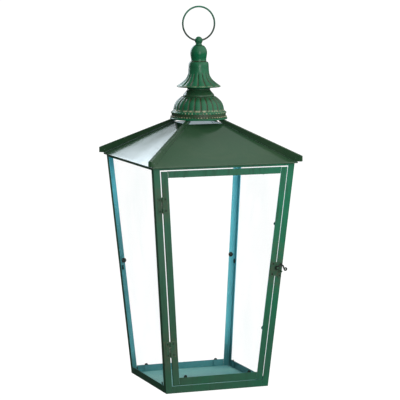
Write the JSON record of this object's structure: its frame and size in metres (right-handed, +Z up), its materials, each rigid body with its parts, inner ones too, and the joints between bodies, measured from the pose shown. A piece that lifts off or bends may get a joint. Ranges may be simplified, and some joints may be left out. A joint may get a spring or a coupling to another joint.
{
  "type": "tapered hanging lantern",
  "caption": "Square lantern that widens upward, with glass sides, a hinged glazed door, a hipped roof, a fluted metal crown and a ring to hang it by.",
  "frame": {"origin": "centre of the base underside, on the surface the lantern stands on", "axes": "+Z up through the crown, -Y out of the door face, +X to the right seen from the door side"},
  "size_m": [0.356, 0.356, 0.8409],
  "materials": {
    "green_paint": "worn satin green paint on sheet metal",
    "roof_paint": "grey-green satin paint, darker along the folds",
    "crown_paint": "bright green paint with brown wear in the grooves",
    "dark_hardware": "dark green-black worn hardware",
    "clear_glass": "clear window glass"
  },
  "bodies": {
    "lantern": {"base_tray": "green_paint", "corner_post_front_left": "green_paint", "corner_post_front_right": "green_paint", "corner_post_back_right": "green_paint", "corner_post_back_left": "green_paint", "base_rail_front": "green_paint", "base_rail_right": "green_paint", "base_rail_back": "green_paint", "base_rail_left": "green_paint", "top_rail_front": "green_paint", "top_rail_right": "green_paint", "top_rail_back": "green_paint", "top_rail_left": "green_paint", "roof_panel_front": "roof_paint", "roof_panel_right": "roof_paint", "roof_panel_back": "roof_paint", "roof_panel_left": "roof_paint", "roof_rib_front_left": "roof_paint", "roof_rib_front_right": "roof_paint", "roof_rib_back_right": "roof_paint", "roof_rib_back_left": "roof_paint", "crown_dome": "crown_paint", "crown_bell": "crown_paint", "crown_cap": "crown_paint", "eye_bolt": "crown_paint", "glass_left": "clear_glass", "glass_right": "clear_glass", "glass_back": "clear_glass", "pane_clip_left_1": "dark_hardware", "pane_clip_left_2": "dark_hardware", "pane_clip_right_1": "dark_hardware", "pane_clip_right_2": "dark_hardware", "pane_clip_back_1": "dark_hardware", "pane_clip_back_2": "dark_hardware", "round_clip_left": "dark_hardware", "round_clip_right": "dark_hardware", "round_clip_back_left": "dark_hardware", "round_clip_back_right": "dark_hardware", "hinge_leaf_post_lower": "dark_hardware", "hinge_leaf_post_upper": "dark_hardware", "hinge_pin_lower": "dark_hardware", "hinge_pin_upper": "dark_hardware", "crown_nut": "dark_hardware", "catch_plate": "dark_hardware"},
    "door": {"door_stile_hinge_side": "green_paint", "door_stile_latch_side": "green_paint", "door_rail_bottom": "green_paint", "door_rail_top": "green_paint", "door_glass": "clear_glass", "door_clip_bottom_1": "dark_hardware", "door_clip_bottom_2": "dark_hardware", "door_clip_top_1": "dark_hardware", "door_clip_top_2": "dark_hardware", "door_clip_stile_1": "dark_hardware", "door_clip_stile_2": "dark_hardware", "hinge_leaf_door_lower": "dark_hardware", "hinge_leaf_door_upper": "dark_hardware", "latch_plate": "dark_hardware"},
    "latch": {"latch_lever": "dark_hardware"},
    "ring": {"bail_ring": "crown_paint"}
  },
  "joints": [
    {"name": "door_hinge", "type": "hinge", "parent": "lantern", "child": "door", "pos_m": [-0.12635, -0.14445, 0.26033], "axis": [0.0856, 0.0856, -0.9927], "range_deg": [0, 42]},
    {"name": "latch_turn", "type": "hinge", "parent": "door", "child": "latch", "pos_m": [0.1302, -0.14673, 0.26938], "axis": [0, -0.9963, -0.0859], "range_deg": [-45, 108]},
    {"name": "ring_swing", "type": "hinge", "parent": "lantern", "child": "ring", "pos_m": [0, 0, 0.764], "axis": [1, 0, 0], "range_deg": [-150, 150]}
  ]
}
